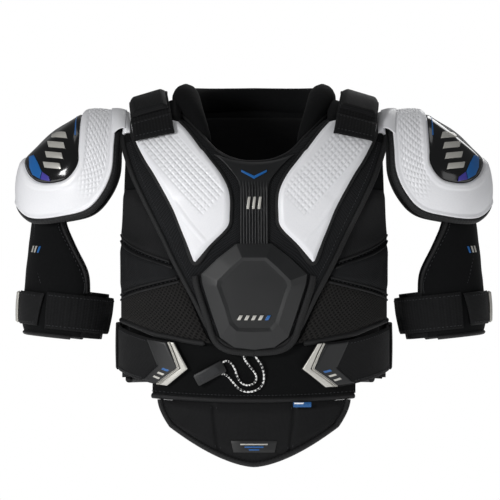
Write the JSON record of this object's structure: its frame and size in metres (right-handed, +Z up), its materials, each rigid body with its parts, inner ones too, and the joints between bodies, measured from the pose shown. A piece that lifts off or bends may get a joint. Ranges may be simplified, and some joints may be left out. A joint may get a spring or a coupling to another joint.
{
  "type": "ice hockey shoulder pads",
  "caption": "Ice hockey shoulder pads: padded vest with moulded chest plates and shoulder caps, arm guards, belly straps and a fold-up extension pad.",
  "frame": {"origin": "centre of the neck opening at the height of the shoulder seat, where the pads rest on the wearer's shoulders", "axes": "+Z up the wearer, +X towards the wearer's left, -Y out of the wearer's chest"},
  "size_m": [0.5758, 0.277, 0.457],
  "materials": {
    "foam_liner": "brushed knit over foam",
    "shell_fabric": "woven nylon over foam",
    "mesh_fabric": "open spacer mesh",
    "binding": "stitched edge tape",
    "webbing": "woven webbing and hook-and-loop",
    "white_shell": "moulded, satin",
    "black_shell": "moulded, fine grain",
    "gloss_panel": "glossy moulded",
    "silver_trim": "satin silver",
    "blue_trim": "satin",
    "cord": "braided, black and white",
    "label": "woven label"
  },
  "bodies": {
    "chest": {"chest_liner": "foam_liner", "bib_pad": "shell_fabric", "rib_panel": "shell_fabric", "sternum_shield": "black_shell", "chest_plate_left": "white_shell", "chest_plate_right": "white_shell", "side_pad_left": "mesh_fabric", "side_pad_right": "mesh_fabric", "side_mesh_left": "mesh_fabric", "side_mesh_right": "mesh_fabric", "belly_panel": "foam_liner", "belly_binding": "binding", "collar_pad_left": "shell_fabric", "collar_pad_right": "shell_fabric", "shoulder_arch_left": "white_shell", "shoulder_arch_right": "white_shell", "shoulder_strap_left": "webbing", "shoulder_strap_right": "webbing", "cord_eyelets": "silver_trim", "drawcord": "cord", "pull_tab": "webbing", "extension_tongue": "mesh_fabric"},
    "back": {"back_liner": "foam_liner", "back_plate_left": "white_shell", "back_plate_right": "white_shell", "spine_guard": "black_shell", "collar_back": "shell_fabric", "hang_loop": "webbing", "side_band_left": "webbing", "side_band_right": "webbing"},
    "belly_strap_left": {"belly_strap_left": "webbing", "strap_trim_left": "silver_trim"},
    "belly_strap_right": {"belly_strap_right": "webbing", "strap_trim_right": "silver_trim"},
    "strap_flap_left": {"strap_flap_left": "webbing"},
    "strap_flap_right": {"strap_flap_right": "webbing"},
    "cap_left": {"cap_shell_left": "white_shell", "cap_inset_left": "gloss_panel", "cap_liner_left": "foam_liner", "cap_binding_left": "binding"},
    "cap_right": {"cap_shell_right": "white_shell", "cap_inset_right": "gloss_panel", "cap_liner_right": "foam_liner", "cap_binding_right": "binding"},
    "arm_left": {"arm_pad_left": "shell_fabric", "arm_cuff_left": "shell_fabric", "arm_hanger_left": "webbing", "arm_band_left": "webbing"},
    "arm_right": {"arm_pad_right": "shell_fabric", "arm_cuff_right": "shell_fabric", "arm_hanger_right": "webbing", "arm_band_right": "webbing"},
    "arm_tab_left": {"arm_tab_left": "webbing", "arm_tip_left": "silver_trim"},
    "arm_tab_right": {"arm_tab_right": "webbing", "arm_tip_right": "silver_trim"},
    "extension": {"extension_pad": "shell_fabric", "extension_binding": "binding", "extension_badge": "label", "side_label": "label"}
  },
  "joints": [
    {"name": "back_swing", "type": "hinge", "parent": "chest", "child": "back", "pos_m": [0, 0.004, 0.03], "axis": [1, 0, 0], "range_deg": [0, 6]},
    {"name": "belly_strap_left_open", "type": "hinge", "parent": "back", "child": "belly_strap_left", "pos_m": [0.159, -0.04, -0.262], "axis": [0, 0, 1], "range_deg": [0, 48]},
    {"name": "belly_strap_right_open", "type": "hinge", "parent": "back", "child": "belly_strap_right", "pos_m": [-0.159, -0.04, -0.262], "axis": [0, 0, -1], "range_deg": [0, 48]},
    {"name": "strap_flap_left_lift", "type": "hinge", "parent": "chest", "child": "strap_flap_left", "pos_m": [0.11, -0.068, 0.014], "axis": [-1, 0, 0], "range_deg": [0, 45]},
    {"name": "strap_flap_right_lift", "type": "hinge", "parent": "chest", "child": "strap_flap_right", "pos_m": [-0.11, -0.068, 0.014], "axis": [-1, 0, 0], "range_deg": [0, 45]},
    {"name": "cap_left_lift", "type": "hinge", "parent": "chest", "child": "cap_left", "pos_m": [0.161, 0, 0.024], "axis": [0, -1, 0], "range_deg": [0, 50]},
    {"name": "cap_right_lift", "type": "hinge", "parent": "chest", "child": "cap_right", "pos_m": [-0.161, 0, 0.024], "axis": [0, 1, 0], "range_deg": [0, 50]},
    {"name": "arm_left_swing", "type": "hinge", "parent": "cap_left", "child": "arm_left", "pos_m": [0.22, 0, -0.06], "axis": [1, 0, 0], "range_deg": [-8, 8]},
    {"name": "arm_right_swing", "type": "hinge", "parent": "cap_right", "child": "arm_right", "pos_m": [-0.22, 0, -0.06], "axis": [1, 0, 0], "range_deg": [-8, 8]},
    {"name": "arm_tab_left_open", "type": "hinge", "parent": "arm_left", "child": "arm_tab_left", "pos_m": [0.2508, -0.0478, -0.2156], "axis": [0.1045, 0, -0.9945], "range_deg": [0, 45]},
    {"name": "arm_tab_right_open", "type": "hinge", "parent": "arm_right", "child": "arm_tab_right", "pos_m": [-0.2508, -0.0478, -0.2156], "axis": [0.1045, 0, 0.9945], "range_deg": [0, 45]},
    {"name": "extension_fold", "type": "hinge", "parent": "chest", "child": "extension", "pos_m": [0, -0.1165, -0.3215], "axis": [-1, 0, 0], "range_deg": [0, 60]}
  ],
  "couplings": [
    {"joint": "belly_strap_left_open", "follows": "back_swing", "ratio": 8},
    {"joint": "belly_strap_right_open", "follows": "back_swing", "ratio": 8}
  ]
}
